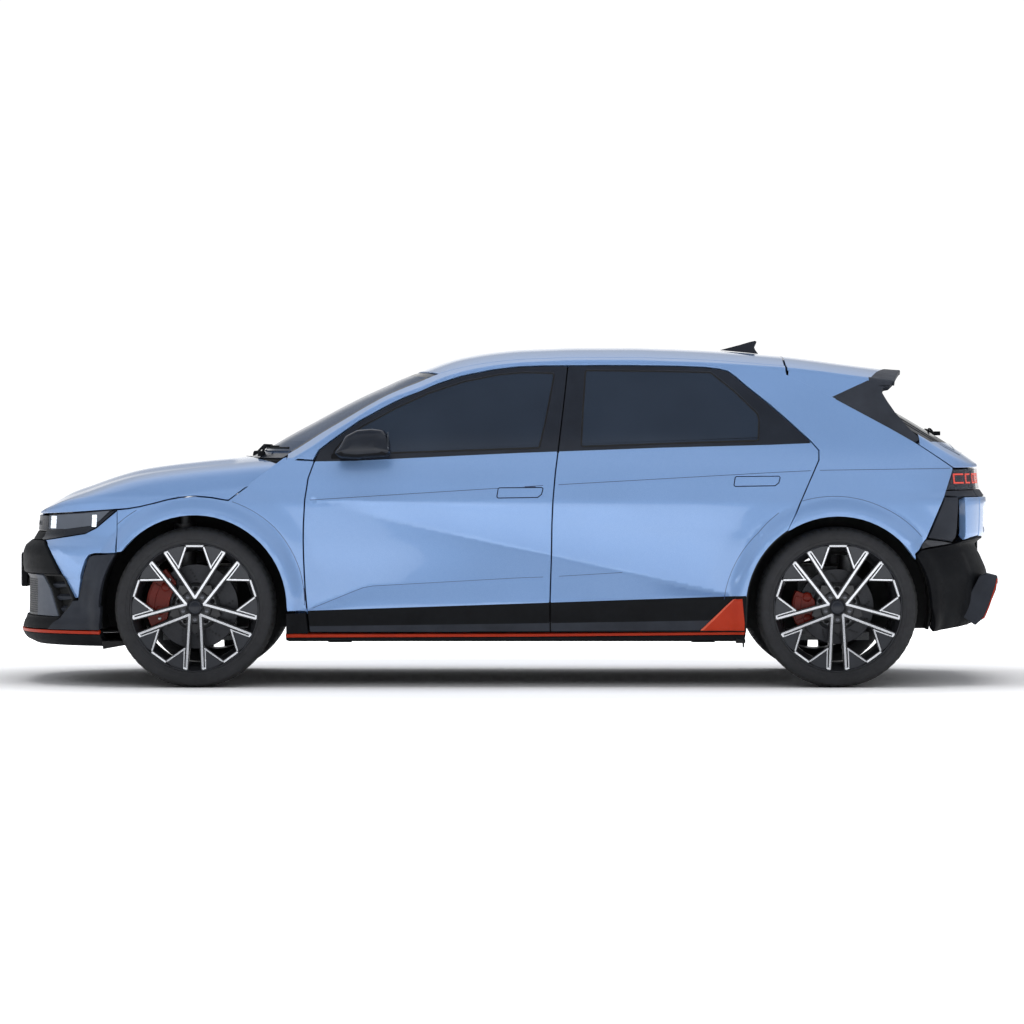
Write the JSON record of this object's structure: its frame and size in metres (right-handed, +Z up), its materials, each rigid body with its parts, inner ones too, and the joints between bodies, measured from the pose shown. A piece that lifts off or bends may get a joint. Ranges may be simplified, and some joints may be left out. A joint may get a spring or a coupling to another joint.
{
  "type": "electric crossover",
  "caption": "Five-door electric crossover with opening doors, hood and tailgate, steered front wheels and turning road wheels.",
  "frame": {"origin": "on the ground under the middle of the car, where the centre line crosses half its overall length", "axes": "-X forward, -Y to the car's left, +Z up; the wheels stand on Z = 0"},
  "size_m": [4.724, 2.144, 1.6369],
  "materials": {
    "body_paint": "gloss",
    "dark_trim": "matte",
    "gloss_black": "gloss",
    "window_glass": "gloss",
    "lamp_lens": "gloss",
    "red_lens": "gloss",
    "pack_steel": "satin",
    "cast_alloy": "matte",
    "cabin_plastic": "matte",
    "seat_suede": "matte",
    "caliper_paint": "gloss",
    "tyre_rubber": "matte",
    "wheel_alloy": "satin"
  },
  "bodies": {
    "body": {"floor_pan": "pack_steel", "body_sides": "body_paint", "roof_panel": "body_paint", "firewall_cowl": "dark_trim", "front_fenders": "body_paint", "front_bumper": "dark_trim", "front_grille": "dark_trim", "front_splitter": "dark_trim", "rear_bumper": "dark_trim", "rear_diffuser": "dark_trim", "side_skirts": "dark_trim", "windshield": "window_glass", "headlamps": "lamp_lens", "tail_lamps": "red_lens", "antenna": "gloss_black", "battery_pack": "pack_steel", "drive_motors": "cast_alloy", "dashboard": "cabin_plastic", "centre_console": "cabin_plastic", "front_seats": "seat_suede", "rear_bench": "seat_suede", "front_suspension": "cast_alloy", "rear_suspension": "cast_alloy", "rear_knuckles": "cast_alloy", "rear_calipers": "caliper_paint", "wheel_arch_liners": "dark_trim", "frunk_tub": "dark_trim"},
    "front_left_carrier": {"front_left_knuckle": "cast_alloy", "front_left_caliper": "caliper_paint"},
    "front_left_road_wheel": {"front_left_tyre": "tyre_rubber", "front_left_wheel": "wheel_alloy"},
    "rear_left_road_wheel": {"rear_left_tyre": "tyre_rubber", "rear_left_wheel": "wheel_alloy"},
    "front_left_door_body": {"front_left_door": "body_paint", "front_left_door_glass": "window_glass", "front_left_mirror": "gloss_black"},
    "rear_left_door_body": {"rear_left_door": "body_paint", "rear_left_door_glass": "window_glass"},
    "front_right_carrier": {"front_right_knuckle": "cast_alloy", "front_right_caliper": "caliper_paint"},
    "front_right_road_wheel": {"front_right_tyre": "tyre_rubber", "front_right_wheel": "wheel_alloy"},
    "rear_right_road_wheel": {"rear_right_tyre": "tyre_rubber", "rear_right_wheel": "wheel_alloy"},
    "front_right_door_body": {"front_right_door": "body_paint", "front_right_door_glass": "window_glass", "front_right_mirror": "gloss_black"},
    "rear_right_door_body": {"rear_right_door": "body_paint", "rear_right_door_glass": "window_glass"},
    "hood_body": {"hood": "body_paint"},
    "tailgate_body": {"tailgate": "body_paint", "tailgate_glass": "window_glass", "rear_spoiler": "gloss_black"},
    "steering_wheel_body": {"steering_wheel": "cabin_plastic"}
  },
  "joints": [
    {"name": "front_left_steer", "type": "hinge", "parent": "body", "child": "front_left_carrier", "pos_m": [-1.475, -0.76, 0.375], "axis": [0, 0, 1], "range_deg": [-33, 33]},
    {"name": "front_left_spin", "type": "hinge", "parent": "front_left_carrier", "child": "front_left_road_wheel", "pos_m": [-1.475, -0.82, 0.375], "axis": [0, 1, 0], "continuous": true},
    {"name": "rear_left_spin", "type": "hinge", "parent": "body", "child": "rear_left_road_wheel", "pos_m": [1.525, -0.82, 0.375], "axis": [0, 1, 0], "continuous": true},
    {"name": "front_left_door_swing", "type": "hinge", "parent": "body", "child": "front_left_door_body", "pos_m": [-0.9255, -0.922, 0.66], "axis": [0, 0, -1], "range_deg": [0, 66]},
    {"name": "rear_left_door_swing", "type": "hinge", "parent": "body", "child": "rear_left_door_body", "pos_m": [0.232, -0.933, 0.66], "axis": [0, 0, -1], "range_deg": [0, 68]},
    {"name": "front_right_steer", "type": "hinge", "parent": "body", "child": "front_right_carrier", "pos_m": [-1.475, 0.76, 0.375], "axis": [0, 0, 1], "range_deg": [-33, 33]},
    {"name": "front_right_spin", "type": "hinge", "parent": "front_right_carrier", "child": "front_right_road_wheel", "pos_m": [-1.475, 0.82, 0.375], "axis": [0, 1, 0], "continuous": true},
    {"name": "rear_right_spin", "type": "hinge", "parent": "body", "child": "rear_right_road_wheel", "pos_m": [1.525, 0.82, 0.375], "axis": [0, 1, 0], "continuous": true},
    {"name": "front_right_door_swing", "type": "hinge", "parent": "body", "child": "front_right_door_body", "pos_m": [-0.9255, 0.922, 0.66], "axis": [0, 0, 1], "range_deg": [0, 66]},
    {"name": "rear_right_door_swing", "type": "hinge", "parent": "body", "child": "rear_right_door_body", "pos_m": [0.232, 0.933, 0.66], "axis": [0, 0, 1], "range_deg": [0, 68]},
    {"name": "hood_lift", "type": "hinge", "parent": "body", "child": "hood_body", "pos_m": [-1.056, 0, 1.066], "axis": [0, 1, 0], "range_deg": [0, 42]},
    {"name": "tailgate_lift", "type": "hinge", "parent": "body", "child": "tailgate_body", "pos_m": [1.302, 0, 1.563], "axis": [0, -1, 0], "range_deg": [0, 70]},
    {"name": "steering_wheel_turn", "type": "hinge", "parent": "body", "child": "steering_wheel_body", "pos_m": [-0.42, -0.39, 0.905], "axis": [0.9135, 0, 0.4067], "range_deg": [-450, 450]}
  ],
  "couplings": [
    {"joint": "front_right_steer", "follows": "front_left_steer", "ratio": 1},
    {"joint": "steering_wheel_turn", "follows": "front_left_steer", "ratio": 13.6}
  ]
}
